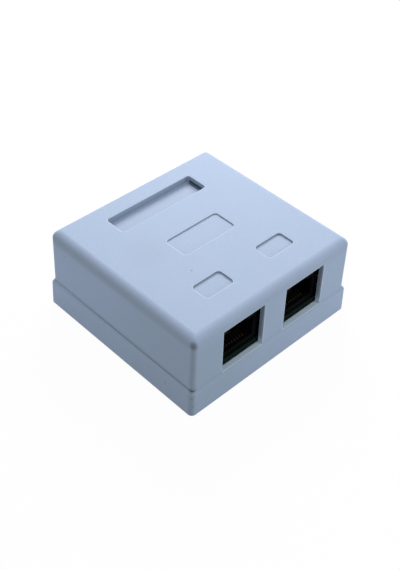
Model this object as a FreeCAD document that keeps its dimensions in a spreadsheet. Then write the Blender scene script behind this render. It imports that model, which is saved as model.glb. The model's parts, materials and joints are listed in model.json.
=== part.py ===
import FreeCAD, Part
import math
import os
import re
import Sketcher

# Two-port ethernet outlet box: a low base, a lift-off cover and a wired socket board.
# Frame: origin at the middle of the base's underside, +Z up, the sockets face -Y.

doc = FreeCAD.newDocument("OutletBox")
sheet = doc.addObject("Spreadsheet::Sheet", "Sizes")

# Every driving dimension, in millimetres or degrees.
drivingSizes = {
    # Box
    "BoxWidth": 64.0,
    "BoxDepth": 61.6,
    "BoxHeight": 27.6,
    "SeamHeight": 8.8,
    "LedgeHeight": 7.9,
    "LedgeInset": 0.3,
    "SeamInset": 0.9,
    "SeamGap": 0.1,
    "BaseCorner": 1.5,
    "CoverCorner": 1.5,
    "CoverDraft": 1.1,
    "CoverTopRound": 2.5,
    "WallThick": 1.6,
    "InnerCorner": 1.0,
    "FloorThick": 2.0,
    "BottomEdge": 0.15,
    # Socket windows
    "PortSpacing": 24.3,
    "WindowWidth": 15.7,
    "WindowTop": 23.7,
    "WindowEdge": 0.2,
    # Recesses in the cover's top
    "RecessDepth": 0.6,
    "RecessCorner": 1.2,
    "RecessEdge": 0.3,
    "RecessEdgeDrop": 0.1,
    "MiddleRecessDepth": 0.45,
    "MiddleRecessWidth": 19.8,
    "MiddleRecessLength": 8.2,
    "MiddleRecessShift": 0.2,
    "MiddleRecessPlace": 0.3,
    "PortRecessWidth": 10.4,
    "PortRecessLength": 6.1,
    "PortRecessPlace": 17.2,
    "LabelWidth": 32.6,
    "LabelLength": 7.6,
    "LabelPlace": 18.9,
    "LabelShift": 0.3,
    "LabelDepth": 2.2,
    "LabelCorner": 1.0,
    "LabelTrayWall": 1.5,
    "LabelSlotWidth": 0.9,
    "LabelSlotMargin": 0.8,
    # Snap legs, their catches and the locating ribs
    "LegWidth": 8.0,
    "LegThick": 1.4,
    "LegReach": 4.8,
    "LegRoot": 7.0,
    "LegClear": 0.2,
    "LegFrontPlace": 11.0,
    "LegRearPlace": 19.0,
    "NubHeight": 1.6,
    "NubClear": 0.05,
    "NubLift": 0.6,
    "CatchDepth": 0.6,
    "RibWidth": 10.0,
    "RibThick": 1.2,
    "RibRise": 1.8,
    "RibRoot": 4.0,
    "RibClear": 0.2,
    "SideRibPlace": 4.0,
    "RearRibPlace": 18.0,
    # Base floor and rear wall
    "SlotSpacing": 40.0,
    "SlotPlace": 18.5,
    "SlotHalfWidth": 2.1,
    "SlotLength": 8.4,
    "SlotSeatWide": 1.9,
    "SlotSeatDeep": 0.8,
    "CableHoleWidth": 20.0,
    "CableHoleLength": 10.0,
    "CableHolePlace": 20.6,
    "CableHoleCorner": 1.5,
    "TieWidth": 9.0,
    "TieThick": 2.0,
    "TieHeight": 4.4,
    "TieGap": 5.0,
    "TieGapHeight": 2.2,
    "TiePlace": 12.8,
    "KnockOutWidth": 13.0,
    "KnockOutLow": 2.8,
    "KnockOutHigh": 8.0,
    "KnockOutWeb": 0.9,
    "ScoreWidth": 0.7,
    "ScoreDepth": 0.35,
    # Circuit board and what holds it
    "BoardWidth": 54.4,
    "BoardBack": 10.5,
    "BoardThick": 1.6,
    "BoardUnder": 8.9,
    "BoardClear": 0.25,
    "BoardCorner": 1.0,
    "ScrewSpacing": 49.2,
    "ScrewFrontPlace": 23.5,
    "ScrewRearPlace": 6.5,
    "PostRadius": 2.7,
    "PropRadius": 2.0,
    "PropPlace": 9.0,
    "ScrewRadius": 1.1,
    "ScrewLength": 7.0,
    "ScrewHeadRadius": 2.2,
    "ScrewHeadHeight": 1.5,
    "CrossWidth": 0.6,
    "CrossLength": 2.6,
    "CrossDepth": 0.8,
    "ThreadFit": 0.05,
    "ScrewHoleClear": 0.25,
    # Jack housing
    "JackSetback": 0.8,
    "JackWidth": 15.2,
    "JackHeight": 13.2,
    "JackLength": 16.0,
    "JackEdge": 0.4,
    "PlugWidth": 11.8,
    "PlugHeight": 7.0,
    "PlugFloor": 1.9,
    "PlugDepth": 12.6,
    "NotchWidth": 7.0,
    "NotchHeight": 1.5,
    "KeyWidth": 4.1,
    "KeyHeight": 1.5,
    "JackLip": 1.1,
    "PegSpacing": 12.4,
    "PegRadius": 1.2,
    "PegPlace": 7.0,
    "PegReach": 0.7,
    "PegClear": 0.1,
    "SideGroovePlace": 10.0,
    "SideGrooveWidth": 2.0,
    "SideGrooveDepth": 0.6,
    # Jack insert
    "InsertWidth": 8.8,
    "InsertClear": 0.1,
    "InsertThick": 1.7,
    "CombThick": 2.6,
    "CombHeight": 4.8,
    "CombSlotDepth": 1.6,
    "NoseRadius": 0.4,
    # Jack contacts
    "ContactPitch": 1.016,
    "ContactWidth": 0.45,
    "ContactThick": 0.3,
    "ContactClear": 0.07,
    "ContactRise": 0.55,
    "ContactSlope": 15.0,
    "NoseBend": 0.75,
    "PinInset": 1.4,
    "PinStagger": 2.54,
    "PinReach": 1.3,
    "PinHoleRadius": 0.4,
    # Wire blocks
    "WayPitch": 4.0,
    "WireBlockWidth": 7.6,
    "WireBlockEnd": 0.7,
    "WireBlockHeight": 10.5,
    "WireBlockPlace": 0.6,
    "WireBlockInner": 7.0,
    "WireBlockOuter": 17.6,
    "WireBlockEdge": 0.4,
    "WireSlotWidth": 1.1,
    "WireSlotMouth": 2.2,
    "WireSlotDepth": 5.5,
    "WireMouthDepth": 1.2,
    # Wire contacts
    "ForkWidth": 2.4,
    "ForkThick": 0.4,
    "ForkHeight": 8.4,
    "ForkSlot": 0.4,
    "ForkSlotDepth": 5.2,
    "ForkMouth": 1.2,
    "ForkMouthDepth": 0.8,
    "ForkShoulder": 0.8,
    "ForkPinWidth": 0.6,
    "ForkClear": 0.1,
}
for row, (alias, number) in enumerate(drivingSizes.items(), start=1):
    sheet.set(f"A{row}", alias)
    sheet.set(f"B{row}", str(number))
    sheet.setAlias(f"B{row}", alias)
doc.recompute()

# Places that several pieces share, written as formulas on the sheet's values.
rimHalfWidth = "(BoxWidth / 2 - SeamInset)"
rimHalfDepth = "(BoxDepth / 2 - SeamInset)"
innerHalfWidth = "(BoxWidth / 2 - SeamInset - WallThick)"
innerHalfDepth = "(BoxDepth / 2 - SeamInset - WallThick)"
coverBottom = "(SeamHeight + SeamGap)"
ceiling = "(BoxHeight - WallThick)"
boardTop = "(BoardUnder + BoardThick)"
boardFront = f"({innerHalfDepth} - BoardClear)"
jackFace = f"({innerHalfDepth} - JackSetback)"
jackTop = f"({boardTop} + JackHeight)"
jackBack = f"({jackFace} - JackLength)"
plugFloor = f"({boardTop} + PlugFloor)"
plugBack = f"({jackFace} - PlugDepth)"
labelTrayBottom = "(BoxHeight - LabelDepth - LabelTrayWall)"
contactRun = f"({boardTop} + ContactRise)"
noseCentre = f"({jackFace} - JackLip - ContactClear - ContactThick / 2 - NoseBend)"
insertNose = f"({noseCentre} + NoseRadius / 2)"
grooveTop = f"({contactRun} + ContactThick / 2 + ContactClear)"
wireBlockLength = "(4 * WayPitch + 2 * WireBlockEnd)"

# Working tools: each number comes from the sheet, and the model stays tied to it.


def tie(text):
    return re.sub(r"[A-Z]\w+", r"Sizes.\g<0>", text)


def value(text):
    return float(sheet.evalExpression(tie(text)))


def bind(thing, path, text):
    thing.setExpression(path, tie(text))


def newBody(label, east="0", north="0"):
    body = doc.addObject("PartDesign::Body", label)
    body.Label = label
    bind(body, "Placement.Base.x", east)
    bind(body, "Placement.Base.y", north)
    return body


def sketchOn(body, role, height="0"):
    plane = next(item for item in body.Origin.OriginFeatures if item.Role == role)
    sketch = body.newObject("Sketcher::SketchObject", "Sketch")
    sketch.AttachmentSupport = [(plane, "")]
    sketch.MapMode = "FlatFace"
    bind(sketch, "AttachmentOffset.Base.z", height)
    return sketch


def measureAll(sketch, places):
    """Distances from the sketch's origin, each a kind, a line, its end and a formula."""
    rows = sketch.addConstraint([
        Sketcher.Constraint(kind, geometry, point, value(text)) for kind, geometry, point, text in places
    ])
    for row, (kind, geometry, point, text) in zip(rows, places):
        bind(sketch, f"Constraints[{row}]", text)


def measure(sketch, kind, geometry, point, text):
    measureAll(sketch, [(kind, geometry, point, text)])


def setRadius(sketch, geometry, text):
    row = sketch.addConstraint(Sketcher.Constraint("Radius", geometry, value(text)))
    bind(sketch, f"Constraints[{row}]", text)


def line(sketch, start, end):
    return sketch.addGeometry(Part.LineSegment(FreeCAD.Vector(*start, 0), FreeCAD.Vector(*end, 0)))


def arc(sketch, centre, radius, fromAngle, toAngle):
    circle = Part.Circle(FreeCAD.Vector(*centre, 0), FreeCAD.Vector(0, 0, 1), radius)
    return sketch.addGeometry(Part.ArcOfCircle(circle, math.radians(fromAngle), math.radians(toAngle)))


def outline(sketch, corners):
    """A closed line through corners, each one a pair of formulas."""
    places = [FreeCAD.Vector(value(across), value(along), 0) for across, along in corners]
    ends = places[1:] + places[:1]
    sides = sketch.addGeometry([Part.LineSegment(start, end) for start, end in zip(places, ends)])
    sketch.addConstraint([
        Sketcher.Constraint("Coincident", side, 2, following, 1)
        for side, following in zip(sides, sides[1:] + sides[:1])
    ])
    measureAll(sketch, [
        (kind, side, 1, text)
        for side, corner in zip(sides, corners)
        for kind, text in zip(("DistanceX", "DistanceY"), corner)
    ])


def rectangle(sketch, west, east, south, north):
    outline(sketch, [(west, south), (east, south), (east, north), (west, north)])


def roundedRectangle(sketch, west, east, south, north, radius):
    low, high = value(west), value(east)
    near, far = value(south), value(north)
    bend = value(radius)
    sides = [
        line(sketch, (low + bend, near), (high - bend, near)),
        line(sketch, (high, near + bend), (high, far - bend)),
        line(sketch, (high - bend, far), (low + bend, far)),
        line(sketch, (low, far - bend), (low, near + bend)),
    ]
    corners = [
        arc(sketch, (high - bend, near + bend), bend, -90, 0),
        arc(sketch, (high - bend, far - bend), bend, 0, 90),
        arc(sketch, (low + bend, far - bend), bend, 90, 180),
        arc(sketch, (low + bend, near + bend), bend, 180, 270),
    ]
    joints = []
    for index, corner in enumerate(corners):
        joints.append(Sketcher.Constraint("Tangent", sides[index], 2, corner, 1))
        joints.append(Sketcher.Constraint("Tangent", corner, 2, sides[(index + 1) % 4], 1))
    joints += [Sketcher.Constraint("Horizontal", sides[place]) for place in (0, 2)]
    joints += [Sketcher.Constraint("Vertical", sides[place]) for place in (1, 3)]
    sketch.addConstraint(joints)
    for corner in corners:
        setRadius(sketch, corner, radius)
    measureAll(sketch, [
        ("DistanceY", sides[0], 1, south),
        ("DistanceX", sides[1], 1, east),
        ("DistanceY", sides[2], 1, north),
        ("DistanceX", sides[3], 1, west),
    ])


def disc(sketch, across, along, radius):
    centre = FreeCAD.Vector(value(across), value(along), 0)
    ring = sketch.addGeometry(Part.Circle(centre, FreeCAD.Vector(0, 0, 1), value(radius)))
    measure(sketch, "DistanceX", ring, 3, across)
    measure(sketch, "DistanceY", ring, 3, along)
    setRadius(sketch, ring, radius)


def drilled(sketch, across, along, radius):
    """A small hole, drawn with eight flats round its radius."""
    corners = []
    for turn in range(8):
        angle = f"{45 * turn + 22.5} deg"
        reach = f"({radius}) / cos(22.5 deg)"
        corners.append((f"{across} + {reach} * cos({angle})", f"{along} + {reach} * sin({angle})"))
    outline(sketch, corners)


def slot(sketch, across, along, length, radius):
    """A slot with round ends, its long way across."""
    middle, height = value(across), value(along)
    bend = value(radius)
    reach = value(length) / 2 - bend
    lower = line(sketch, (middle - reach, height - bend), (middle + reach, height - bend))
    right = arc(sketch, (middle + reach, height), bend, -90, 90)
    upper = line(sketch, (middle + reach, height + bend), (middle - reach, height + bend))
    left = arc(sketch, (middle - reach, height), bend, 90, 270)
    for before, after in ((lower, right), (right, upper), (upper, left), (left, lower)):
        sketch.addConstraint(Sketcher.Constraint("Tangent", before, 2, after, 1))
    setRadius(sketch, right, radius)
    sketch.addConstraint(Sketcher.Constraint("Horizontal", lower))
    measure(sketch, "DistanceX", right, 3, f"{across} + {length} / 2 - {radius}")
    measure(sketch, "DistanceX", left, 3, f"{across} - {length} / 2 + {radius}")
    measure(sketch, "DistanceY", right, 3, along)


def addFeature(body, kind, sketch, length, taper, backwards, middle):
    feature = body.newObject(f"PartDesign::{kind}", kind)
    feature.Profile = sketch
    bind(feature, "Length", length)
    if taper:
        bind(feature, "TaperAngle", taper)
    feature.Reversed = backwards
    feature.Midplane = middle
    doc.recompute()
    return feature


def pad(body, sketch, length, taper=None, backwards=False, middle=False):
    before = body.Shape.Volume if body.Tip else 0.0
    feature = addFeature(body, "Pad", sketch, length, taper, backwards, middle)
    if feature.Shape.isNull() or feature.Shape.Volume <= before:
        raise RuntimeError(f"a pad on {body.Label} adds nothing")
    return feature


def pocket(body, sketch, length, taper=None, backwards=False, middle=False):
    before = body.Shape.Volume
    feature = addFeature(body, "Pocket", sketch, length, taper, backwards, middle)
    if feature.Shape.isNull() or feature.Shape.Volume >= before:
        raise RuntimeError(f"a pocket on {body.Label} cuts nothing")
    return feature


def smooth(body, kind, edgeTest, size, drop=None):
    """A fillet or chamfer on every edge of the body that passes the test; a drop makes the chamfer uneven."""
    feature = body.newObject(f"PartDesign::{kind}", kind)
    base = feature.BaseFeature
    names = [f"Edge{number}" for number, edge in enumerate(base.Shape.Edges, start=1) if edgeTest(edge)]
    feature.Base = (base, names)
    bind(feature, "Radius" if kind == "Fillet" else "Size", size)
    if drop:
        feature.ChamferType = "Two distances"
        bind(feature, "Size2", drop)
    doc.recompute()
    return feature


def edgeAt(height, reach=None):
    """True for edges that lie at one height, within reach of the middle if it is given."""
    level = value(height)

    def test(edge):
        bounds = edge.BoundBox
        flat = abs(bounds.ZMin - level) < 1e-4 and abs(bounds.ZMax - level) < 1e-4
        return flat and (reach is None or reach(bounds))

    return test


def bothSides(places):
    return [sign + place for place in places for sign in ("", "-")]


# The base: floor, drafted ledge and rim, with posts, slots and ribs inside.


def makeBase():
    body = newBody("base")
    lower = sketchOn(body, "XY_Plane")
    halfWidth, halfDepth = "BoxWidth / 2", "BoxDepth / 2"
    roundedRectangle(lower, f"-{halfWidth}", halfWidth, f"-{halfDepth}", halfDepth, "BaseCorner")
    pad(body, lower, "LedgeHeight", taper="-atan(LedgeInset / LedgeHeight)")
    ledge = sketchOn(body, "XY_Plane", "LedgeHeight")
    across, along = "(BoxWidth / 2 - LedgeInset)", "(BoxDepth / 2 - LedgeInset)"
    roundedRectangle(ledge, f"-{across}", across, f"-{along}", along, "BaseCorner - LedgeInset")
    rise, lean = "(SeamHeight - LedgeHeight)", "(SeamInset - LedgeInset)"
    pad(body, ledge, rise, taper=f"-atan({lean} / {rise})")
    smooth(body, "Chamfer", edgeAt("0"), "BottomEdge")
    room = sketchOn(body, "XY_Plane", "SeamHeight")
    inside = (f"-{innerHalfWidth}", innerHalfWidth, f"-{innerHalfDepth}", innerHalfDepth)
    roundedRectangle(room, *inside, "InnerCorner")
    pocket(body, room, "SeamHeight - FloorThick")

    posts = sketchOn(body, "XY_Plane", "FloorThick")
    for across in ("ScrewSpacing / 2", "-ScrewSpacing / 2"):
        for along in ("-ScrewFrontPlace", "ScrewRearPlace"):
            disc(posts, across, along, "PostRadius")
    disc(posts, "0", "-PropPlace", "PropRadius")
    pad(body, posts, "BoardUnder - FloorThick")
    pilots = sketchOn(body, "XY_Plane", "BoardUnder")
    for across in ("ScrewSpacing / 2", "-ScrewSpacing / 2"):
        for along in ("-ScrewFrontPlace", "ScrewRearPlace"):
            drilled(pilots, across, along, "ScrewRadius + ThreadFit")
    pocket(body, pilots, "ScrewLength - BoardThick + 4 * ThreadFit")

    # Locating ribs stand a little inside the cover's wall above the rim.
    for bottom, top, gap in (
        ("(SeamHeight - RibRoot)", "SeamHeight", "-WallThick / 4"),
        ("SeamHeight", "(SeamHeight + RibRise)", "RibClear"),
    ):
        ribs = sketchOn(body, "XY_Plane", bottom)
        south, north = "SideRibPlace - RibWidth / 2", "SideRibPlace + RibWidth / 2"
        outer, inner = f"{innerHalfWidth} - ({gap})", f"{innerHalfWidth} - RibClear - RibThick"
        rectangle(ribs, inner, outer, south, north)
        rectangle(ribs, f"-({outer})", f"-({inner})", south, north)
        outer, inner = f"{innerHalfDepth} - ({gap})", f"{innerHalfDepth} - RibClear - RibThick"
        rectangle(ribs, "RearRibPlace - RibWidth / 2", "RearRibPlace + RibWidth / 2", inner, outer)
        rectangle(ribs, "-RearRibPlace - RibWidth / 2", "-RearRibPlace + RibWidth / 2", inner, outer)
        pad(body, ribs, f"{top} - {bottom}")

    # The cable-tie anchor is a small arch on the floor.
    anchor = sketchOn(body, "XZ_Plane", "-TiePlace")
    low = "FloorThick"
    outline(anchor, [
        ("-TieWidth / 2", low),
        ("-TieGap / 2", low),
        ("-TieGap / 2", f"{low} + TieGapHeight"),
        ("TieGap / 2", f"{low} + TieGapHeight"),
        ("TieGap / 2", low),
        ("TieWidth / 2", low),
        ("TieWidth / 2", f"{low} + TieHeight"),
        ("-TieWidth / 2", f"{low} + TieHeight"),
    ])
    pad(body, anchor, "TieThick", middle=True)

    # Openings in the floor: the cable hole and two slots for the wall screws.
    cableHole = sketchOn(body, "XY_Plane", "FloorThick")
    halfHole = "CableHoleWidth / 2"
    south, north = "CableHolePlace - CableHoleLength / 2", "CableHolePlace + CableHoleLength / 2"
    roundedRectangle(cableHole, f"-{halfHole}", halfHole, south, north, "CableHoleCorner")
    pocket(body, cableHole, "2 * FloorThick")
    slots = sketchOn(body, "XY_Plane", "FloorThick")
    seats = sketchOn(body, "XY_Plane", "FloorThick")
    for across in ("SlotSpacing / 2", "-SlotSpacing / 2"):
        slot(slots, across, "SlotPlace", "SlotLength", "SlotHalfWidth")
        wide = "(SlotHalfWidth + SlotSeatWide)"
        slot(seats, across, "SlotPlace", "(SlotLength + 2 * SlotSeatWide)", wide)
    pocket(body, slots, "2 * FloorThick")
    pocket(body, seats, "SlotSeatDeep")

    # The rear wall's knock-out: a thin web with a scored outline.
    web = sketchOn(body, "XZ_Plane", f"-{innerHalfDepth}")
    halfWeb = "KnockOutWidth / 2"
    rectangle(web, f"-{halfWeb}", halfWeb, "KnockOutLow", "KnockOutHigh")
    pocket(body, web, f"BoxDepth / 2 - KnockOutWeb - {innerHalfDepth}")
    score = sketchOn(body, "XZ_Plane", "-BoxDepth / 2")
    rectangle(score, f"-{halfWeb}", halfWeb, "KnockOutLow", "LedgeHeight - ScoreWidth / 2")
    inset = "ScoreWidth"
    rectangle(
        score,
        f"-{halfWeb} + {inset}",
        f"{halfWeb} - {inset}",
        f"KnockOutLow + {inset}",
        f"LedgeHeight - 1.5 * {inset}",
    )
    pocket(body, score, "ScoreDepth + LedgeInset / 2", backwards=True)

    # Shallow catches in the side walls take the nubs of the cover's legs.
    for sign in ("", "-"):
        catches = sketchOn(body, "YZ_Plane", f"{sign}{innerHalfWidth}")
        for along in ("-LegFrontPlace", "LegRearPlace"):
            rectangle(
                catches,
                f"{along} - LegWidth / 2",
                f"{along} + LegWidth / 2",
                "SeamHeight - LegReach",
                "SeamHeight - LegReach + 2 * NubLift + NubHeight",
            )
        pocket(body, catches, "CatchDepth", backwards=not sign)
    return body


# The cover: a drafted shell with windows, recesses, a label tray and snap legs.


def makeCover():
    body = newBody("cover")
    shell = sketchOn(body, "XY_Plane", coverBottom)
    outside = (f"-{rimHalfWidth}", rimHalfWidth, f"-{rimHalfDepth}", rimHalfDepth)
    roundedRectangle(shell, *outside, "CoverCorner")
    pad(body, shell, f"BoxHeight - {coverBottom}", taper="-CoverDraft")
    smooth(body, "Fillet", edgeAt("BoxHeight"), "CoverTopRound")
    room = sketchOn(body, "XY_Plane", coverBottom)
    rectangle(room, f"-{innerHalfWidth}", innerHalfWidth, f"-{innerHalfDepth}", innerHalfDepth)
    pocket(body, room, f"{ceiling} - {coverBottom}", taper="-CoverDraft", backwards=True)

    # The label recess is deeper than the top is thick, so a tray carries its floor.
    tray = sketchOn(body, "XY_Plane", labelTrayBottom)
    labelWest, labelEast = "(LabelShift - LabelWidth / 2)", "(LabelShift + LabelWidth / 2)"
    labelSouth, labelNorth = "(LabelPlace - LabelLength / 2)", "(LabelPlace + LabelLength / 2)"
    roundedRectangle(
        tray,
        f"{labelWest} - LabelTrayWall",
        f"{labelEast} + LabelTrayWall",
        f"{labelSouth} - LabelTrayWall",
        f"{labelNorth} + LabelTrayWall",
        "LabelCorner + LabelTrayWall",
    )
    pad(body, tray, f"{ceiling} + WallThick / 4 - {labelTrayBottom}")

    # Ribs under the ceiling keep the jacks down.
    holdDown = sketchOn(body, "XY_Plane", f"{jackTop} + InsertClear")
    for centre in ("PortSpacing / 2", "-PortSpacing / 2"):
        for along in ("JackLength / 4", "3 * JackLength / 4"):
            middle = f"(-{jackFace} + {along})"
            rectangle(
                holdDown,
                f"{centre} - JackWidth / 3",
                f"{centre} + JackWidth / 3",
                f"{middle} - RibThick / 2",
                f"{middle} + RibThick / 2",
            )
    pad(body, holdDown, f"{ceiling} + WallThick / 4 - {jackTop} - InsertClear")

    windows = sketchOn(body, "XZ_Plane", "BoxDepth / 2")
    for centre in ("PortSpacing / 2", "-PortSpacing / 2"):
        west, east = f"{centre} - WindowWidth / 2", f"{centre} + WindowWidth / 2"
        rectangle(windows, west, east, "LedgeHeight", "WindowTop")
    pocket(body, windows, "SeamInset + WallThick + JackSetback")
    windowTop = value("WindowTop")
    wallMiddle = value(f"{innerHalfDepth} + WallThick / 2")

    def outerWindowEdge(edge):
        bounds = edge.BoundBox
        return abs(bounds.ZMax - windowTop) < 1e-4 and bounds.YMax < -wallMiddle

    smooth(body, "Fillet", outerWindowEdge, "WindowEdge")

    middleRecess = sketchOn(body, "XY_Plane", "BoxHeight")
    halfWidth, halfLength = "MiddleRecessWidth / 2", "MiddleRecessLength / 2"
    roundedRectangle(
        middleRecess,
        f"MiddleRecessShift - {halfWidth}",
        f"MiddleRecessShift + {halfWidth}",
        f"MiddleRecessPlace - {halfLength}",
        f"MiddleRecessPlace + {halfLength}",
        "RecessCorner",
    )
    pocket(body, middleRecess, "MiddleRecessDepth")
    portRecesses = sketchOn(body, "XY_Plane", "BoxHeight")
    for centre in ("PortSpacing / 2", "-PortSpacing / 2"):
        roundedRectangle(
            portRecesses,
            f"{centre} - PortRecessWidth / 2",
            f"{centre} + PortRecessWidth / 2",
            "-PortRecessPlace - PortRecessLength / 2",
            "-PortRecessPlace + PortRecessLength / 2",
            "RecessCorner",
        )
    pocket(body, portRecesses, "RecessDepth")
    label = sketchOn(body, "XY_Plane", "BoxHeight")
    roundedRectangle(label, labelWest, labelEast, labelSouth, labelNorth, "LabelCorner")
    pocket(body, label, "LabelDepth")
    labelSlot = sketchOn(body, "XY_Plane", "BoxHeight - LabelDepth")
    rectangle(
        labelSlot,
        f"{labelEast} - LabelSlotWidth",
        labelEast,
        f"{labelSouth} + LabelSlotMargin",
        f"{labelNorth} - LabelSlotMargin",
    )
    pocket(body, labelSlot, "2 * LabelTrayWall")
    outerEdge = value("BoxWidth / 2 - SeamInset - 2 * CoverTopRound")
    recessEdges = edgeAt("BoxHeight", lambda box: box.XMax < outerEdge and box.XMin > -outerEdge)
    smooth(body, "Chamfer", recessEdges, "RecessEdge", "RecessEdgeDrop")

    # Four snap legs hang from the side walls into the base.
    for bottom, top, gap in (
        ("(SeamHeight - LegReach)", coverBottom, "LegClear"),
        (coverBottom, f"({coverBottom} + LegRoot)", "-WallThick / 4"),
    ):
        legs = sketchOn(body, "XY_Plane", bottom)
        outer = f"{innerHalfWidth} - ({gap})"
        inner = f"{innerHalfWidth} - LegClear - LegThick"
        for along in ("-LegFrontPlace", "LegRearPlace"):
            south, north = f"{along} - LegWidth / 2", f"{along} + LegWidth / 2"
            rectangle(legs, inner, outer, south, north)
            rectangle(legs, f"-({outer})", f"-({inner})", south, north)
        pad(body, legs, f"{top} - {bottom}")
    legFace = f"({innerHalfWidth} - LegClear)"
    nubFace = f"({innerHalfWidth} - NubClear)"
    nubLow = "(SeamHeight - LegReach + NubLift)"
    for place in ("LegFrontPlace", "-LegRearPlace"):
        nubs = sketchOn(body, "XZ_Plane", place)
        for sign in ("", "-"):
            outline(nubs, [
                (f"{sign}({legFace} - LegThick / 2)", nubLow),
                (f"{sign}{legFace}", nubLow),
                (f"{sign}{nubFace}", f"{nubLow} + NubHeight / 2"),
                (f"{sign}{legFace}", f"{nubLow} + NubHeight"),
                (f"{sign}({legFace} - LegThick / 2)", f"{nubLow} + NubHeight"),
            ])
        pad(body, nubs, "0.7 * LegWidth", middle=True)
    return body


# The circuit board, drilled for its screws, the jacks' pegs and every contact pin.


def pinPlace(way):
    """Pins stand in two rows, every other one a row further forward."""
    return f"({jackBack} + PinInset + {way % 2} * PinStagger)"


def contactPlace(way):
    return f"({way - 3.5} * ContactPitch)"


def wayPlace(way):
    return f"(-WireBlockPlace + {way - 1.5} * WayPitch)"


def makeBoard():
    body = newBody("circuit_board")
    plate = sketchOn(body, "XY_Plane", "BoardUnder")
    roundedRectangle(plate, "-BoardWidth / 2", "BoardWidth / 2", f"-{boardFront}", "BoardBack", "BoardCorner")
    pad(body, plate, "BoardThick")
    screwHoles = sketchOn(body, "XY_Plane", boardTop)
    for across in ("ScrewSpacing / 2", "-ScrewSpacing / 2"):
        for along in ("-ScrewFrontPlace", "ScrewRearPlace"):
            drilled(screwHoles, across, along, "ScrewRadius + ScrewHoleClear")
    pocket(body, screwHoles, "BoardThick")
    for centre in ("PortSpacing / 2", "-PortSpacing / 2"):
        jackHoles = sketchOn(body, "XY_Plane", boardTop)
        for side in ("+", "-"):
            pegPlace = f"{centre} {side} PegSpacing / 2"
            drilled(jackHoles, pegPlace, f"-{jackFace} + PegPlace", "PegRadius + PegClear")
        for way in range(8):
            drilled(jackHoles, f"{centre} + {contactPlace(way)}", f"-{pinPlace(way)}", "PinHoleRadius")
        pocket(body, jackHoles, "BoardThick")
    for across in bothSides(["WireBlockInner", "WireBlockOuter"]):
        forkHoles = sketchOn(body, "XY_Plane", boardTop)
        for way in range(4):
            drilled(forkHoles, across, wayPlace(way), "ForkPinWidth / 2 + ForkClear")
        pocket(body, forkHoles, "BoardThick")
    return body


# One jack: its housing, the insert with its comb, and eight bent contacts.


def makeJackHousing(label, centre):
    body = newBody(label, centre)
    block = sketchOn(body, "XY_Plane", boardTop)
    halfWidth = "JackWidth / 2"
    rectangle(block, f"-{halfWidth}", halfWidth, f"-{jackFace}", f"-{jackBack}")
    pad(body, block, "JackHeight")
    smooth(body, "Chamfer", edgeAt(jackTop), "JackEdge")
    socket = sketchOn(body, "XZ_Plane", jackFace)
    notchTop = f"{plugFloor} + PlugHeight + NotchHeight"
    outline(socket, [
        ("-PlugWidth / 2", plugFloor),
        ("PlugWidth / 2", plugFloor),
        ("PlugWidth / 2", f"{plugFloor} + PlugHeight"),
        ("NotchWidth / 2", f"{plugFloor} + PlugHeight"),
        ("NotchWidth / 2", notchTop),
        ("KeyWidth / 2", notchTop),
        ("KeyWidth / 2", f"{notchTop} + KeyHeight"),
        ("-KeyWidth / 2", f"{notchTop} + KeyHeight"),
        ("-KeyWidth / 2", notchTop),
        ("-NotchWidth / 2", notchTop),
        ("-NotchWidth / 2", f"{plugFloor} + PlugHeight"),
        ("-PlugWidth / 2", f"{plugFloor} + PlugHeight"),
    ])
    pocket(body, socket, "PlugDepth")
    channel = sketchOn(body, "XY_Plane", boardTop)
    halfChannel = "InsertWidth / 2 + InsertClear"
    rectangle(channel, f"-({halfChannel})", halfChannel, f"-({jackFace} - JackLip)", f"-{jackBack}")
    pocket(body, channel, "PlugFloor", backwards=True)
    for sign in ("", "-"):
        groove = sketchOn(body, "YZ_Plane", f"{sign}JackWidth / 2")
        middle = f"(-{jackFace} + SideGroovePlace)"
        rectangle(
            groove,
            f"{middle} - SideGrooveWidth / 2",
            f"{middle} + SideGrooveWidth / 2",
            f"{boardTop} + 2 * JackEdge",
            f"{jackTop} - JackHeight / 4",
        )
        pocket(body, groove, "SideGrooveDepth", backwards=bool(sign))
    pegs = sketchOn(body, "XY_Plane", boardTop)
    for side in ("", "-"):
        disc(pegs, f"{side}PegSpacing / 2", f"-{jackFace} + PegPlace", "PegRadius")
    pad(body, pegs, "BoardThick + PegReach", backwards=True)
    return body


def makeJackInsert(label, centre):
    body = newBody(label, centre)
    halfWidth = "InsertWidth / 2"
    side = sketchOn(body, "YZ_Plane")
    insertTop = f"({boardTop} + InsertThick)"
    combBack = f"({plugBack} + InsertClear)"
    outline(side, [
        (f"-{insertNose}", boardTop),
        (f"-{jackBack}", boardTop),
        (f"-{jackBack}", insertTop),
        (f"-{combBack}", insertTop),
        (f"-{combBack}", f"{insertTop} + CombHeight"),
        (f"-({combBack} + CombThick)", f"{insertTop} + CombHeight"),
        (f"-({combBack} + CombThick)", insertTop),
        (f"-{insertNose}", insertTop),
    ])
    pad(body, side, "InsertWidth", middle=True)
    grooves = sketchOn(body, "XY_Plane", boardTop)
    combSlots = sketchOn(body, "XY_Plane", f"{insertTop} + CombHeight")
    for way in range(8):
        west = f"{contactPlace(way)} - ContactWidth / 2 - ContactClear"
        east = f"{contactPlace(way)} + ContactWidth / 2 + ContactClear"
        end = f"-({pinPlace(way)} - ContactThick / 2 - ContactClear)"
        rectangle(grooves, west, east, f"-({insertNose} + 1)", end)
        front = f"({combBack} + CombThick)"
        rectangle(combSlots, west, east, f"-({front} + 1)", f"-({front} - CombSlotDepth)")
    pocket(body, grooves, f"{grooveTop} - {boardTop}", backwards=True)
    pocket(body, combSlots, "CombHeight")
    noseTest = edgeAt(insertTop, lambda box: abs(box.YMax + value(insertNose)) < 1e-4)
    smooth(body, "Fillet", noseTest, "NoseRadius")
    return body


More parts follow.
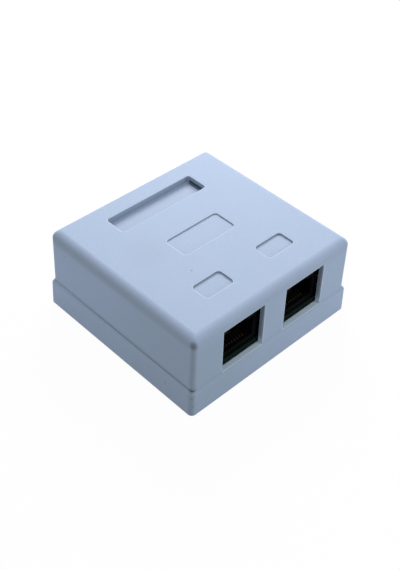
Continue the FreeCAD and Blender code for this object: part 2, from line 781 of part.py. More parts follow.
def makeJackContact(label, centre, way):
    body = newBody(label, f"{centre} + {contactPlace(way)}")
    pinFoot = "(BoardUnder - PinReach)"
    section = sketchOn(body, "XY_Plane", pinFoot)
    pin = pinPlace(way)
    rectangle(
        section,
        "-ContactWidth / 2",
        "ContactWidth / 2",
        f"-{pin} - ContactThick / 2",
        f"-{pin} + ContactThick / 2",
    )
    path = sketchOn(body, "YZ_Plane")
    slope = value("ContactSlope")
    pinY, footZ = -value(pin), value(pinFoot)
    runZ = value(contactRun)
    noseY, noseBend = -value(noseCentre), value("NoseBend")
    endY = -value(f"{plugBack} + InsertClear + CombThick - CombSlotDepth + 2 * ContactClear")
    tilt = math.radians(slope)
    turnY = noseY - noseBend * math.sin(tilt)
    turnZ = runZ + noseBend + noseBend * math.cos(tilt)
    upright = line(path, (pinY, footZ), (pinY, runZ))
    run = line(path, (pinY, runZ), (noseY, runZ))
    noseTurn = arc(path, (noseY, runZ + noseBend), noseBend, 90 + slope, 270)
    blade = line(path, (turnY, turnZ), (endY, turnZ + (endY - turnY) * math.tan(tilt)))
    path.addConstraint(Sketcher.Constraint("Coincident", upright, 2, run, 1))
    path.addConstraint(Sketcher.Constraint("Tangent", run, 2, noseTurn, 2))
    path.addConstraint(Sketcher.Constraint("Tangent", noseTurn, 1, blade, 1))
    path.addConstraint(Sketcher.Constraint("Vertical", upright))
    path.addConstraint(Sketcher.Constraint("Horizontal", run))
    measure(path, "DistanceX", upright, 1, f"-{pin}")
    measure(path, "DistanceY", upright, 1, pinFoot)
    measure(path, "DistanceY", run, 1, contactRun)
    setRadius(path, noseTurn, "NoseBend")
    measure(path, "DistanceX", noseTurn, 3, f"-{noseCentre}")
    end = f"-({plugBack} + InsertClear + CombThick - CombSlotDepth + 2 * ContactClear)"
    measure(path, "DistanceX", blade, 2, end)
    row = path.addConstraint(Sketcher.Constraint("Angle", blade, tilt))
    bind(path, f"Constraints[{row}]", "ContactSlope * 1 deg")
    strip = body.newObject("PartDesign::AdditivePipe", "Strip")
    strip.Profile = section
    strip.Spine = (path, [])
    strip.Transition = "Right corner"
    doc.recompute()
    return body


# One wire block and its forked contacts.


def makeWireBlock(label, across):
    body = newBody(label, across, "-WireBlockPlace")
    block = sketchOn(body, "XY_Plane", boardTop)
    halfWidth, halfLength = "WireBlockWidth / 2", f"{wireBlockLength} / 2"
    rectangle(block, f"-{halfWidth}", halfWidth, f"-{halfLength}", halfLength)
    pad(body, block, "WireBlockHeight")
    blockTop = f"({boardTop} + WireBlockHeight)"
    smooth(body, "Chamfer", edgeAt(blockTop), "WireBlockEdge")
    wires = sketchOn(body, "YZ_Plane")
    forks = sketchOn(body, "XY_Plane", blockTop)
    for way in range(4):
        middle = f"{way - 1.5} * WayPitch"
        outline(wires, [
            (f"{middle} - WireSlotWidth / 2", f"{blockTop} - WireSlotDepth"),
            (f"{middle} + WireSlotWidth / 2", f"{blockTop} - WireSlotDepth"),
            (f"{middle} + WireSlotWidth / 2", f"{blockTop} - WireMouthDepth"),
            (f"{middle} + WireSlotMouth / 2", blockTop),
            (f"{middle} - WireSlotMouth / 2", blockTop),
            (f"{middle} - WireSlotWidth / 2", f"{blockTop} - WireMouthDepth"),
        ])
        halfThick = "(ForkThick / 2 + ForkClear)"
        halfFork = "(ForkWidth / 2 + ForkClear)"
        rectangle(forks, f"-{halfThick}", halfThick, f"{middle} - {halfFork}", f"{middle} + {halfFork}")
    pocket(body, wires, "2 * WireBlockWidth", middle=True)
    pocket(body, forks, "2 * WireBlockHeight")
    return body


def makeWireContact(label, across, way):
    body = newBody(label, across, wayPlace(way))
    plate = sketchOn(body, "YZ_Plane")
    foot = f"({boardTop} + ForkShoulder)"
    top = f"({boardTop} + ForkHeight)"
    half = [
        ("ForkPinWidth / 2", "BoardUnder - PinReach"),
        ("ForkPinWidth / 2", foot),
        ("ForkWidth / 2", foot),
        ("ForkWidth / 2", top),
        ("ForkMouth / 2", top),
        ("ForkSlot / 2", f"{top} - ForkMouthDepth"),
        ("ForkSlot / 2", f"{top} - ForkSlotDepth"),
    ]
    outline(plate, half + [(f"-{across}", along) for across, along in reversed(half)])
    pad(body, plate, "ForkThick", middle=True)
    return body


# One board screw, turned about its axis, with a cross recess.


def makeScrew(label, across, along):
    body = newBody(label, across, along)
    profile = sketchOn(body, "XZ_Plane")
    outline(profile, [
        ("0", f"{boardTop} - ScrewLength"),
        ("ScrewRadius", f"{boardTop} - ScrewLength"),
        ("ScrewRadius", boardTop),
        ("ScrewHeadRadius", boardTop),
        ("ScrewHeadRadius", f"{boardTop} + ScrewHeadHeight"),
        ("0", f"{boardTop} + ScrewHeadHeight"),
    ])
    turned = body.newObject("PartDesign::Revolution", "Turned")
    turned.Profile = profile
    turned.ReferenceAxis = (profile, ["V_Axis"])
    turned.Angle = 360
    doc.recompute()
    cross = sketchOn(body, "XY_Plane", f"{boardTop} + ScrewHeadHeight")
    wide, long = "CrossWidth / 2", "CrossLength / 2"
    outline(cross, [
        (f"-{wide}", f"-{long}"), (wide, f"-{long}"), (wide, f"-{wide}"), (long, f"-{wide}"),
        (long, wide), (wide, wide), (wide, long), (f"-{wide}", long),
        (f"-{wide}", wide), (f"-{long}", wide), (f"-{long}", f"-{wide}"), (f"-{wide}", f"-{wide}"),
    ])
    pocket(body, cross, "CrossDepth")
    return body


# The assembly.

pieces = [makeBase(), makeCover(), makeBoard()]
for side, centre in (("left", "-PortSpacing / 2"), ("right", "PortSpacing / 2")):
    pieces.append(makeJackHousing(f"jack_housing_{side}", centre))
    pieces.append(makeJackInsert(f"jack_insert_{side}", centre))
    for way in range(8):
        pieces.append(makeJackContact(f"jack_contact_{side}_{way + 1}", centre, way))
for number, across in enumerate(("-WireBlockOuter", "-WireBlockInner", "WireBlockInner", "WireBlockOuter")):
    pieces.append(makeWireBlock(f"wire_block_{number + 1}", across))
    for way in range(4):
        pieces.append(makeWireContact(f"wire_contact_{number + 1}_{way + 1}", across, way))
screwNumber = 0
for along in ("-ScrewFrontPlace", "ScrewRearPlace"):
    for across in ("-ScrewSpacing / 2", "ScrewSpacing / 2"):
        screwNumber += 1
        pieces.append(makeScrew(f"board_screw_{screwNumber}", across, along))

# Nothing is written before every object and every solid has been checked.
doc.recompute()
for item in doc.Objects:
    if "Invalid" in item.State or "Error" in item.State:
        raise RuntimeError(f"{item.Label} ({item.Name}) failed: {item.State}")
for piece in pieces:
    if piece.Shape.isNull() or not piece.Shape.isValid() or len(piece.Shape.Solids) != 1:
        raise RuntimeError(f"{piece.Label} isn't one valid solid")
os.makedirs("parts", exist_ok=True)
for piece in pieces:
    piece.Shape.exportStep(f"parts/{piece.Label}.step")
    print(piece.Label, round(piece.Shape.Volume, 2))
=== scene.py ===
import json
import math

import bpy
from mathutils import Matrix, Vector


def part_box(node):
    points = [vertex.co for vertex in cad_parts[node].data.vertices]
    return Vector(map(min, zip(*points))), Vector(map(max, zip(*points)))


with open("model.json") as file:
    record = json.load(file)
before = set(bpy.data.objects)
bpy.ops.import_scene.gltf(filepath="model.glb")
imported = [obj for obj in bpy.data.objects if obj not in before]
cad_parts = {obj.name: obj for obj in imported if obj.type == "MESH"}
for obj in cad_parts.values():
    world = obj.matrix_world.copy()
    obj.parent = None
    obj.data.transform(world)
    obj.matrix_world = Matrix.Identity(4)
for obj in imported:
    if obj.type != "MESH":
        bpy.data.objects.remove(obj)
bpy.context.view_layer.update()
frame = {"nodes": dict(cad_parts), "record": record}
print("frame: loaded", len(frame["nodes"]), "pieces")


# Camera: it stands in front of the left corner and looks down on the cover.
cameraSetup = {
    "lens": 59.885,        # millimetres, for the long side of the picture
    "sensor": 36.0,
    "azimuth": -45.79,     # degrees, 0 looks along +Y
    "elevation": 42.869,
    "roll": 2.683,
    "distance": 0.294365,  # metres from the target
    "target": (0.0063, 0.005606, 0.0),
    "clip": (0.01, 50),
}


def makeCamera(setup):
    turn = math.radians(setup["azimuth"])
    rise = math.radians(setup["elevation"])
    roll = math.radians(setup["roll"])
    back = Vector((math.sin(turn) * math.cos(rise), -math.cos(turn) * math.cos(rise), math.sin(rise)))
    right = (-back).cross(Vector((0, 0, 1))).normalized()
    above = right.cross(-back)
    across = right * math.cos(roll) + above * math.sin(roll)
    upright = above * math.cos(roll) - right * math.sin(roll)
    data = bpy.data.cameras.new("camera")
    data.lens = setup["lens"]
    data.sensor_width = setup["sensor"]
    data.clip_start, data.clip_end = setup["clip"]
    camera = bpy.data.objects.new("camera", data)
    bpy.context.scene.collection.objects.link(camera)
    place = Vector(setup["target"]) + back * setup["distance"]
    turned = Matrix((across, upright, back)).transposed().to_4x4()
    camera.matrix_world = Matrix.Translation(place) @ turned
    bpy.context.scene.camera = camera


makeCamera(cameraSetup)
print("camera: placed")


# Shader tools: an expression on a Link adds its Math nodes.
class Link:
    def __init__(self, finish, socket):
        self.finish = finish
        self.socket = socket

    def join(self, operation, first, second):
        return self.finish.node("Math", {"operation": operation}, {0: first, 1: second})

    def __add__(self, other):
        return self.join("ADD", self, other)

    def __radd__(self, other):
        return self.join("ADD", other, self)

    def __sub__(self, other):
        return self.join("SUBTRACT", self, other)

    def __rsub__(self, other):
        return self.join("SUBTRACT", other, self)

    def __mul__(self, other):
        return self.join("MULTIPLY", self, other)

    def __rmul__(self, other):
        return self.join("MULTIPLY", other, self)


# A finish is one material: its nodes all come from the node method.
class Finish:
    def __init__(self, name, world=None):
        self.material = world or bpy.data.materials.new(name)
        self.material.use_nodes = True
        self.tree = self.material.node_tree
        self.tree.nodes.clear()
        self.kept = {}

    def node(self, kind, settings=None, inputs=None, output=0):
        made = self.tree.nodes.new("ShaderNode" + kind)
        for key, setting in (settings or {}).items():
            setattr(made, key, setting)
        for key, given in (inputs or {}).items():
            socket = made.inputs[key]
            if isinstance(given, Link):
                self.tree.links.new(given.socket, socket)
            else:
                socket.default_value = given
        return Link(self, made.outputs[output]) if len(made.outputs) else made

    def axis(self, name):
        if "place" not in self.kept:
            self.kept["place"] = self.node("TexCoord", output="Object")
        if name == "place":
            return self.kept["place"]
        if name not in self.kept:
            self.kept[name] = self.node("SeparateXYZ", inputs={0: self.axis("place")}, output=name)
        return self.kept[name]

    def noise(self, size, detail=2.0, stretch=None):
        place = self.axis("place")
        if stretch:
            place = self.node("Mapping", inputs={"Vector": place, "Scale": stretch})
        return self.node("TexNoise", inputs={"Vector": place, "Scale": 1 / size, "Detail": detail})

    def step(self, value, low, high):      # 0 up to low, 1 from high on
        settings = {"interpolation_type": "SMOOTHSTEP"}
        return self.node("MapRange", settings, {"Value": value, "From Min": low, "From Max": high})

    def fall(self, value, low, high):      # 1 up to low, 0 from high on
        return 1 - self.step(value, low, high)

    def band(self, value, limits):         # 0, then 1 between the middle two limits, then 0
        low, full, fading, gone = limits
        return self.step(value, low, full) * self.fall(value, fading, gone)

    def absolute(self, value):
        return self.node("Math", {"operation": "ABSOLUTE"}, {0: value})

    def blend(self, factor, first, second):
        inputs = {0: factor, 6: colour(first), 7: colour(second)}
        return self.node("Mix", {"data_type": "RGBA"}, inputs, output=2)

    def bump(self, height, distance, normal=None):
        inputs = {"Height": height, "Distance": distance}
        if normal:
            inputs["Normal"] = normal
        return self.node("Bump", inputs=inputs)

    def surface(self, shade, rough, relief, constants):
        inputs = {"Base Color": shade, "Roughness": rough, "Normal": relief, **constants}
        shader = self.node("BsdfPrincipled", inputs=inputs)
        self.node("OutputMaterial", inputs={"Surface": shader})
        return self.material


def colour(given):
    return given if isinstance(given, Link) or len(given) == 4 else (*given, 1)


# Heights that the shell's finish is measured from, in metres as every size and place here.
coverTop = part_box("cover")[1].z
seamHeight = 0.0088
greyTone = (0.23, 0.275, 0.325)    # grey for painted shade on the ledge, the reveals and the near corner, where it is also wear, and for a greyer band round the top rounding

# Sides: a greyer band round the top rounding; painted shade as grey and greenish bands on the ledge, low
# on the left side and towards the near corner; dirt and painted shade in the left seam.
sideShadeAndDirtLook = {
    "leftFrom": (-0.031, -0.029),                  # X beyond which the left side lies
    "brow": (0.0002, 0.0016, 0.0026, 0.0054),      # depths below the top, round the top rounding
    "browShare": (0.12, 0.32),                     # all round, and more on the left side
    "ledge": (-0.0009, -0.0007, -0.0002, 0.0),     # heights over the seam; painted shade on the base's ledge
    "ledgeShare": 0.22,
    "foot": (0.0, 0.0001, 0.0004, 0.0015),         # heights over the seam, on the left side; painted shade, darker low on the cover's side
    "footShare": 0.35,
    # green-grey of the painted shade low on the left side and towards the near corner
    "greener": (0.20, 0.28, 0.27),
    "nearCorner": (-0.056, -0.018),                # X + Y, as painted shade turns the sides greener and darker towards that corner
    "nearTop": (0.0026, 0.0061),                   # depths below the top
    "nearShare": 0.19,
    # The left seam is darkened by dirt and by painted shade in its gap.
    "seam": (-0.00012, -0.00004, 0.0001, 0.00018),
    "seamDirtAndShade": (0.07, 0.085, 0.10),
    "seamShare": (0.75, 0.30),                     # at the near and the far end of the left side
    "seamFades": (0.005, 0.028),                   # Y from the one share to the other
}


def shadeAndDirtSides(finish, look, shade):
    overSeam = finish.axis("Z") - seamHeight
    depth = coverTop - finish.axis("Z")
    leftward = finish.fall(finish.axis("X"), *look["leftFrom"])
    allRound, leftMore = look["browShare"]
    brow = finish.band(depth, look["brow"]) * (allRound + leftMore * leftward)
    shade = finish.blend(brow, shade, greyTone)
    # Painted shade on the base's ledge.
    ledge = finish.band(overSeam, look["ledge"]) * look["ledgeShare"]
    shade = finish.blend(ledge, shade, greyTone)
    # Painted shade low on the left side.
    foot = finish.band(overSeam, look["foot"]) * leftward * look["footShare"]
    shade = finish.blend(foot, shade, look["greener"])
    # Painted shade, greener and darker towards the near corner.
    nearness = finish.fall(finish.axis("X") + finish.axis("Y"), *look["nearCorner"])
    nearness = nearness * finish.step(depth, *look["nearTop"])
    shade = finish.blend(nearness * look["nearShare"], shade, look["greener"])
    # Dirt and painted shade along the left seam.
    nearDirt, farDirt = look["seamShare"]
    dirt = nearDirt - (nearDirt - farDirt) * finish.step(finish.axis("Y"), *look["seamFades"])
    return finish.blend(finish.band(overSeam, look["seam"]) * leftward * dirt, shade, look["seamDirtAndShade"])


# Windows: painted light on the sills, painted shade on the reveals, and a painted highlight on the outer
# edges. Heights are over the seam.
windowLook = {
    "half": 0.00785,                                     # half a window's width
    "head": 0.0149,
    "softOutline": (0.00001, 0.00006),
    "wall": (-0.03005, -0.0299, -0.0284, -0.0282),       # Y of the cover's front wall
    "sillFrom": (-0.0002, 0.0),
    "sillTo": (0.0001, 0.0034),                          # up to the greyer reveal
    # pale of the painted light on the sills
    "sillLight": (0.70, 0.86, 1.0),
    "sillLightShare": 0.9,
    "revealShare": 0.5,
    "edge": (-0.00004, 0.00002, 0.00024, 0.00040),       # distance outside the outline
    # pale of the painted highlight
    "edgeHighlight": (0.74, 0.84, 1.0),
    "edgeShare": 0.6,
    "edgeFace": (-0.0292, -0.0290),                      # Y of the front face
    "edgeFrom": (0.0001, 0.0004),
}


def shadeWindows(finish, look, shade):
    overSeam = finish.axis("Z") - seamHeight
    jackLow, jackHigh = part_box("jack_housing_right")
    middle = (jackLow.x + jackHigh.x) / 2
    # Distance outside a window's outline: the larger of the sideways and the upward one.
    beside = finish.absolute(finish.absolute(finish.axis("X")) - middle) - look["half"]
    outline = finish.node("Math", {"operation": "MAXIMUM"}, {0: beside, 1: overSeam - look["head"]})
    opening = finish.band(finish.axis("Y"), look["wall"]) * finish.fall(outline, *look["softOutline"])
    opening = opening * finish.step(overSeam, *look["sillFrom"])
    height = finish.step(overSeam, *look["sillTo"])
    # Painted light on the sill, giving way to painted shade up the reveals.
    shade = finish.blend(opening * (1 - height) * look["sillLightShare"], shade, look["sillLight"])
    # Painted shade on the reveals, stronger higher up.
    shade = finish.blend(opening * height * look["revealShare"], shade, greyTone)
    # Painted highlight on the outer edges of the window.
    edge = finish.band(outline, look["edge"]) * finish.fall(finish.axis("Y"), *look["edgeFace"])
    edge = edge * finish.step(overSeam, *look["edgeFrom"])
    return finish.blend(edge * look["edgeShare"], shade, look["edgeHighlight"])


# Recesses: painted shade on the walls, a painted highlight on the rims, painted light on the label's tray
# floor, and painted shadow at the foot of the label's end wall, over its slot.
# Depths are below the cover's top.
recessLook = {
    # grey of the painted shade on the recess walls
    "wall": (0.18, 0.225, 0.200),
    "frontShare": 0.80,
    "labelShare": 0.38,
    "wallFrom": (0.00008, 0.00018),
    "wallTo": (0.00001, 0.00008),          # how far over the floor it ends
    "frontDepth": 0.0006,
    "middleRise": 0.00015,                 # the middle recess is shallower by this
    "labelDepth": 0.0022,
    "field": (0.026, 0.0262),              # the flat top, from the middle to each side
    "frontTo": (0.009, 0.010),             # Y between the front recesses and the label's
    "labelPlace": (0.0003, 0.0189),
    "labelReach": (0.0167, 0.0040),
    "labelSoft": 0.0001,
    # near black of the painted shadow at the slot
    "slot": (0.012, 0.018, 0.021),
    "slotShare": 0.9,
    "slotFrom": (0.01635, 0.01655),        # X
    "slotDepths": (0.0011, 0.0019, 0.0023, 0.0024),
    # pale of the painted highlight on the rims and the painted light on the tray floor
    "rim": (0.62, 0.72, 0.90),
    "rimShare": 0.7,
    "rimDepths": (0.000002, 0.000015, 0.00008, 0.000098),
    "trayShare": 0.25,
    "trayDepths": (0.00216, 0.00218, 0.00222, 0.00224),
}


def shadeRecesses(finish, look, shade):
    depth = coverTop - finish.axis("Z")
    sideways = finish.absolute(finish.axis("X"))
    lengthways = finish.absolute(finish.axis("Y"))
    inFront = finish.fall(finish.axis("Y"), *look["frontTo"])
    behind = 1 - inFront
    inMiddle = finish.fall(lengthways, *look["frontTo"])
    # Behind the front recesses only the label's rectangle counts.
    inside = finish.fall(sideways, *look["field"]) * finish.fall(lengthways, *look["field"])
    acrossLabel, alongLabel = [
        finish.fall(finish.absolute(finish.axis(name) - place), reach, reach + look["labelSoft"])
        for name, place, reach in zip("XY", look["labelPlace"], look["labelReach"])
    ]
    inside = inside * (inFront + behind * acrossLabel * alongLabel)
    # A recess wall lies between the top and its own floor.
    floor = look["labelDepth"] + inFront * (look["frontDepth"] - look["labelDepth"])
    overFloor = floor - inMiddle * look["middleRise"] - depth
    wall = finish.step(overFloor, *look["wallTo"]) * finish.step(depth, *look["wallFrom"]) * inside
    wallShare = look["labelShare"] + inFront * (look["frontShare"] - look["labelShare"])
    # Painted shade on the recess walls.
    shade = finish.blend(wall * wallShare, shade, look["wall"])
    # Painted shadow at the foot of the label's end wall and in its slot.
    slot = finish.step(finish.axis("X"), *look["slotFrom"]) * finish.band(depth, look["slotDepths"])
    shade = finish.blend(slot * behind * inside * look["slotShare"], shade, look["slot"])
    # Painted highlight on the rims of the recesses.
    rim = finish.band(depth, look["rimDepths"]) * inside * look["rimShare"]
    shade = finish.blend(rim, shade, look["rim"])
    # Painted light on the label's tray floor, in the pale of the rims.
    tray = finish.band(depth, look["trayDepths"]) * behind * inside * look["trayShare"]
    return finish.blend(tray, shade, look["rim"])


# Near corner: a grey stripe down both shells, partly wear and partly painted shade where the corner faces
# away from the lamps.
cornerLook = {
    "place": (-0.0308, -0.0292),
    "reach": (0.0, 0.0020),        # to each side of the corner's diagonal
    "inward": (0.0008, 0.0016),    # X + Y, from the corner
    "share": 0.42,
}


def wearAndShadeCorner(finish, look, shade):
    cornerX, cornerY = look["place"]
    sideways = finish.axis("X") - finish.axis("Y") - (cornerX - cornerY)
    inward = finish.axis("X") + finish.axis("Y") - (cornerX + cornerY)
    stripe = finish.fall(finish.absolute(sideways), *look["reach"]) * finish.fall(inward, *look["inward"])
    # Wear and painted shade on the near corner's stripe.
    return finish.blend(stripe * look["share"], shade, greyTone)


# Dark marks in the moulding, and at the near corner grime with painted shade: place and size in metres,
# then how strong.
markLook = {
    "shade": (0.10, 0.12, 0.14),
    "core": 0.25,                  # share of the size that has the full strength
    "marks": [
        ((-0.03085, 0.0233, 0.02185), 0.00032, 0.7),     # speck at the far end of the left side
        ((-0.01267, -0.00945, 0.0276), 0.00032, 0.7),    # speck on the top
        ((-0.0318, -0.0201, 0.00516), 0.00032, 0.7),     # speck on the base's left side
        ((-0.0306, -0.0289, 0.0254), 0.0016, 0.6),       # grime and painted shade at the top of the near corner
        ((-0.0310, -0.0292, 0.0089), 0.0007, 0.55),      # and at its seam, dirt and painted shadow in the gap
        ((-0.0172, 0.0045, 0.0276), 0.0085, 0.05),       # faint smudge on the top
        ((-0.0314, -0.0305, 0.0039), 0.0006, 0.3),       # two small ones on the base's near corner
        ((-0.0317, -0.0302, 0.0068), 0.0007, 0.3),
    ],
}


def addMarks(finish, look, shade):
    for place, size, strength in look["marks"]:
        ends = {0: finish.axis("place"), 1: place}
        gap = finish.node("VectorMath", {"operation": "DISTANCE"}, ends, output="Value")
        mark = finish.fall(gap, look["core"] * size, size) * strength
        shade = finish.blend(mark, shade, look["shade"])
    return shade


# Cover and base: bluish white ABS from a finely spark-eroded mould.
shellLook = {
    "plastic": (0.445, 0.556, 0.756),
    "deeper": (0.430, 0.540, 0.738),       # in soft clouds
    "cloudSize": 0.018,
    "cloudSteps": (0.35, 0.65),
    "dust": (0.36, 0.44, 0.58),            # on the grain
    "dustSteps": (0.40, 0.75),
    "dustShare": 0.22,
    "grainSize": 0.00042,
    "grainDepth": 0.000026,
    "fineSize": 0.00016,
    "fineDepth": 0.000006,
    "roughness": 0.55,
    "grainRough": 0.08,
    "cloudGloss": 0.05,
    "glossSteps": (0.4, 0.8),
    "specular": 0.25,
}


def makeShellPlastic(look):
    finish = Finish("shellPlastic")
    cloud = finish.noise(look["cloudSize"], detail=3)
    grain = finish.noise(look["grainSize"])
    fine = finish.noise(look["fineSize"], detail=1)
    shade = finish.blend(finish.step(cloud, *look["cloudSteps"]), look["plastic"], look["deeper"])
    dust = finish.step(grain, *look["dustSteps"]) * look["dustShare"]
    shade = finish.blend(dust, shade, look["dust"])
    shade = shadeAndDirtSides(finish, sideShadeAndDirtLook, shade)
    shade = shadeWindows(finish, windowLook, shade)
    shade = shadeRecesses(finish, recessLook, shade)
    shade = wearAndShadeCorner(finish, cornerLook, shade)
    shade = addMarks(finish, markLook, shade)
    gloss = finish.step(cloud, *look["glossSteps"])
    rough = look["roughness"] + look["grainRough"] * grain - look["cloudGloss"] * gloss
    pebble = finish.bump(grain, look["grainDepth"])
    relief = finish.bump(fine, look["fineDepth"], normal=pebble)
    return finish.surface(shade, rough, relief, {"Specular IOR Level": look["specular"]})


# Jack housings and inserts: black glass-filled moulding.
jackLook = {
    "plastic": (0.0022, 0.0022, 0.0026),
    "greyer": (0.0045, 0.0045, 0.0055),
    "flowSize": 0.004,
    "flowStretch": (1, 0.3, 1),
    "grainSize": 0.00025,
    "grainDepth": 0.000008,
    "steps": (0.3, 0.7),
    "roughness": 0.36,
    "grainRough": 0.14,
    "specular": 0.01,
}


def makeJackPlastic(look):
    finish = Finish("jackPlastic")
    flow = finish.noise(look["flowSize"], detail=3, stretch=look["flowStretch"])
    grain = finish.noise(look["grainSize"])
    shade = finish.blend(finish.step(flow, *look["steps"]), look["plastic"], look["greyer"])
    rough = look["roughness"] + look["grainRough"] * finish.step(grain, *look["steps"])
    relief = finish.bump(grain, look["grainDepth"])
    return finish.surface(shade, rough, relief, {"Specular IOR Level": look["specular"]})


# Circuit board: green solder mask over copper and a glass weave, with its cut edge painted near black as
# shade.
boardLook = {
    "mask": (0.0022, 0.025, 0.011),
    "overCopper": (0.004, 0.043, 0.018),
    "copperShare": 0.8,
    "trackPitch": 0.0021,
    "trackStretch": (1, 0.25, 1),
    "trackEdge": (0.56, 0.58),
    "trackHeight": 0.00003,
    "patch": (0.004, 0.07, 0.03),
    "patchSize": 0.006,
    "patchSteps": (0.4, 0.7),
    "patchShare": 0.2,
    "front": (-0.0272, -0.0262),           # Y of the strip under the windows, which is darker as painted shade
    "frontShade": (0.001, 0.009, 0.005),
    "frontShare": 0.8,
    # near black of the painted shade on the cut edge
    "edge": (0.0012, 0.0075, 0.0045),
    "edgeInset": (0.00006, 0.00012),       # from each face to the cut edge
    "edgeRough": 0.5,
    "weavePitch": 0.0005,
    "weaveDepth": 0.000004,
    "roughness": 0.22,
    "specular": 0.08,
}


def makeBoardLaminate(look):
    finish = Finish("boardLaminate")
    turns = 2 * math.pi / look["weavePitch"]
    waves = [finish.node("Math", {"operation": "SINE"}, {0: finish.axis(name) * turns}) for name in "XY"]
    patches = finish.noise(look["patchSize"])
    tracks = finish.noise(look["trackPitch"], detail=0, stretch=look["trackStretch"])
    copper = finish.step(tracks, *look["trackEdge"])
    shade = finish.blend(copper * look["copperShare"], look["mask"], look["overCopper"])
    patch = finish.step(patches, *look["patchSteps"]) * look["patchShare"]
    shade = finish.blend(patch, shade, look["patch"])
    # Painted shade on the strip under the windows.
    strip = finish.fall(finish.axis("Y"), *look["front"])
    shade = finish.blend(strip * look["frontShare"], shade, look["frontShade"])
    low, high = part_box("circuit_board")
    start, full = look["edgeInset"]
    cut = finish.band(finish.axis("Z"), (low.z + start, low.z + full, high.z - full, high.z - start))
    # The cut edge painted near black as shade.
    shade = finish.blend(cut, shade, look["edge"])
    rough = look["roughness"] + look["edgeRough"] * cut
    weave = finish.bump(waves[0] * waves[1], look["weaveDepth"])
    relief = finish.bump(copper, look["trackHeight"], normal=weave)
    return finish.surface(shade, rough, relief, {"Specular IOR Level": look["specular"]})


# Wire blocks: pale grey-white moulding.
blockLook = {
    "plastic": (0.66, 0.67, 0.66),
    "greyer": (0.58, 0.59, 0.585),
    "cloudSize": 0.004,
    "cloudSteps": (0.3, 0.7),
    "grainSize": 0.0003,
    "grainDepth": 0.00001,
    "roughness": 0.42,
    "grainRough": 0.1,
    "refraction": 1.5,
}


def makeBlockPlastic(look):
    finish = Finish("blockPlastic")
    cloud = finish.noise(look["cloudSize"], detail=3)
    grain = finish.noise(look["grainSize"])
    shade = finish.blend(finish.step(cloud, *look["cloudSteps"]), look["plastic"], look["greyer"])
    rough = look["roughness"] + look["grainRough"] * grain
    relief = finish.bump(grain, look["grainDepth"])
    return finish.surface(shade, rough, relief, {"IOR": look["refraction"]})


# Metals: gold-plated springs, dull and near black as painted shade deep in their sockets, tinned forks a
# little dimmed as shade inside the box, and zinc-plated screws.
metalLooks = {
    "goldPlate": {
        # near black: painted shade deep in the sockets
        "shade": (0.019, 0.016, 0.013),
        "darker": (0.011, 0.010, 0.009),
        "roughness": 0.50,
        "streakSize": 0.0006,
        "stretch": (1, 12, 1),
    },
    "tinPlate": {
        # dimmed a little as painted shade inside the box
        "shade": (0.52, 0.52, 0.50),
        "darker": (0.38, 0.38, 0.365),
        "roughness": 0.32,
        "streakSize": 0.0008,
        "stretch": (1, 1, 10),
    },
    "zincPlate": {
        "shade": (0.66, 0.67, 0.70),
        "darker": (0.50, 0.50, 0.48),
        "roughness": 0.30,
        "streakSize": 0.0009,
        "stretch": (1, 1, 1),
    },
}
streakLook = {"steps": (0.35, 0.75), "rough": 0.16, "depth": 0.000006}


def makeMetal(name):
    look = metalLooks[name]
    finish = Finish(name)
    streaks = finish.noise(look["streakSize"], detail=3, stretch=look["stretch"])
    shade = finish.blend(finish.step(streaks, *streakLook["steps"]), look["shade"], look["darker"])
    rough = look["roughness"] + streakLook["rough"] * streaks
    relief = finish.bump(streaks, streakLook["depth"])
    return finish.surface(shade, rough, relief, {"Metallic": 1.0})


slotFinishes = {
    "shell_plastic": makeShellPlastic(shellLook),
    "jack_plastic": makeJackPlastic(jackLook),
    "board_laminate": makeBoardLaminate(boardLook),
    "block_plastic": makeBlockPlastic(blockLook),
    "gold_contact": makeMetal("goldPlate"),
    "tinned_contact": makeMetal("tinPlate"),
    "screw_steel": makeMetal("zincPlate"),
}
for row in frame["record"]["subparts"]:
    for slot in frame["nodes"][row["node"]].material_slots:
        slot.link = "OBJECT"
        slot.material = slotFinishes[row["material_slot"]]
print("finishes: made", len(slotFinishes))


# Floor and world: white to the camera, a plain grey to the light that bounces.
stageLook = {
    "floorSize": 3.0,
    "floorDrop": 0.00002,              # clear of the base's underside
    "underInset": (0.0020, 0.0018),    # from the base's sides, where the floor no longer glows
    "bounce": (0.37, 0.41, 0.415),
    "shadowShare": 0.04,
    "worldLight": 0.53,
}
white = (1, 1, 1, 1)


def seenDirectly(finish):
    camera, glossy, clear = [
        finish.node("LightPath", output=f"Is {kind} Ray") for kind in ("Camera", "Glossy", "Transmission")
    ]
    return finish.node("Math", {"operation": "MINIMUM"}, {0: camera + glossy + clear, 1: 1.0})


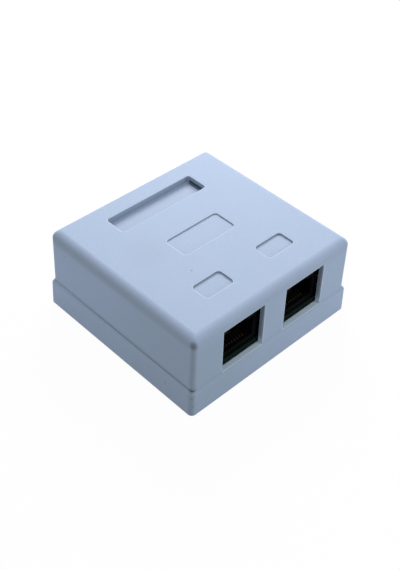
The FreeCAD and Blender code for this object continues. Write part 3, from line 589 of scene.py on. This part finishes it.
def makeFloor(look):
    half = look["floorSize"] / 2
    drop = -look["floorDrop"]
    mesh = bpy.data.meshes.new("floor")
    corners = [(-half, -half, drop), (half, -half, drop), (half, half, drop), (-half, half, drop)]
    mesh.from_pydata(corners, [], [(0, 1, 2, 3)])
    floor = bpy.data.objects.new("floor", mesh)
    bpy.context.scene.collection.objects.link(floor)
    finish = Finish("floorWhite")
    diffuse = finish.node("BsdfDiffuse", inputs={"Color": colour(look["bounce"])})
    bright = finish.node("BsdfDiffuse", inputs={"Color": white})
    glow = finish.node("Emission", inputs={"Color": white, "Strength": 1.0})
    # Under the base the floor only has the light that reaches it, as seen through the holes.
    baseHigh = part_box("base")[1]
    deep, shallow = look["underInset"]
    underX, underY = [
        finish.fall(finish.absolute(finish.axis(name)), reach - deep, reach - shallow)
        for name, reach in (("X", baseHigh.x), ("Y", baseHigh.y))
    ]
    clear = 1 - underX * underY
    shown = finish.node("MixShader", inputs={0: clear * (1 - look["shadowShare"]), 1: bright, 2: glow})
    surface = finish.node("MixShader", inputs={0: seenDirectly(finish), 1: diffuse, 2: shown})
    finish.node("OutputMaterial", inputs={"Surface": surface})
    mesh.materials.append(finish.material)


def makeWorld(look):
    world = bpy.data.worlds.new("studio")
    bpy.context.scene.world = world
    finish = Finish("studio", world)
    seen = seenDirectly(finish)
    strength = seen + (1 - seen) * look["worldLight"]
    light = finish.node("Background", inputs={"Color": white, "Strength": strength})
    finish.node("OutputWorld", inputs={"Surface": light})


makeFloor(stageLook)
makeWorld(stageLook)


# Lamps: the strongest stands behind the back corner, a weaker one in front, a faint one low on the left.
lampSetup = {
    "size": 0.2,
    "aim": (0, 0, 0.012),
    "lamps": {
        "behind": {"place": (0.20, 0.20, 0.24), "watts": 0.86},
        "frontSide": {"place": (0.16, -0.30, 0.12), "watts": 0.25},
        "leftSide": {"place": (-0.32, 0.08, 0.06), "watts": 0.05},
    },
}


def makeLamps(setup):
    for name, given in setup["lamps"].items():
        lamp = bpy.data.lights.new(name, "AREA")
        lamp.shape = "DISK"
        lamp.size = setup["size"]
        lamp.energy = given["watts"]
        holder = bpy.data.objects.new(name, lamp)
        bpy.context.scene.collection.objects.link(holder)
        holder.location = given["place"]
        fromAim = Vector(given["place"]) - Vector(setup["aim"])
        holder.rotation_euler = fromAim.to_track_quat("Z", "Y").to_euler()


makeLamps(lampSetup)
bpy.context.scene.view_settings.view_transform = "Standard"
print("studio: lit by", len(lampSetup["lamps"]), "lamps")
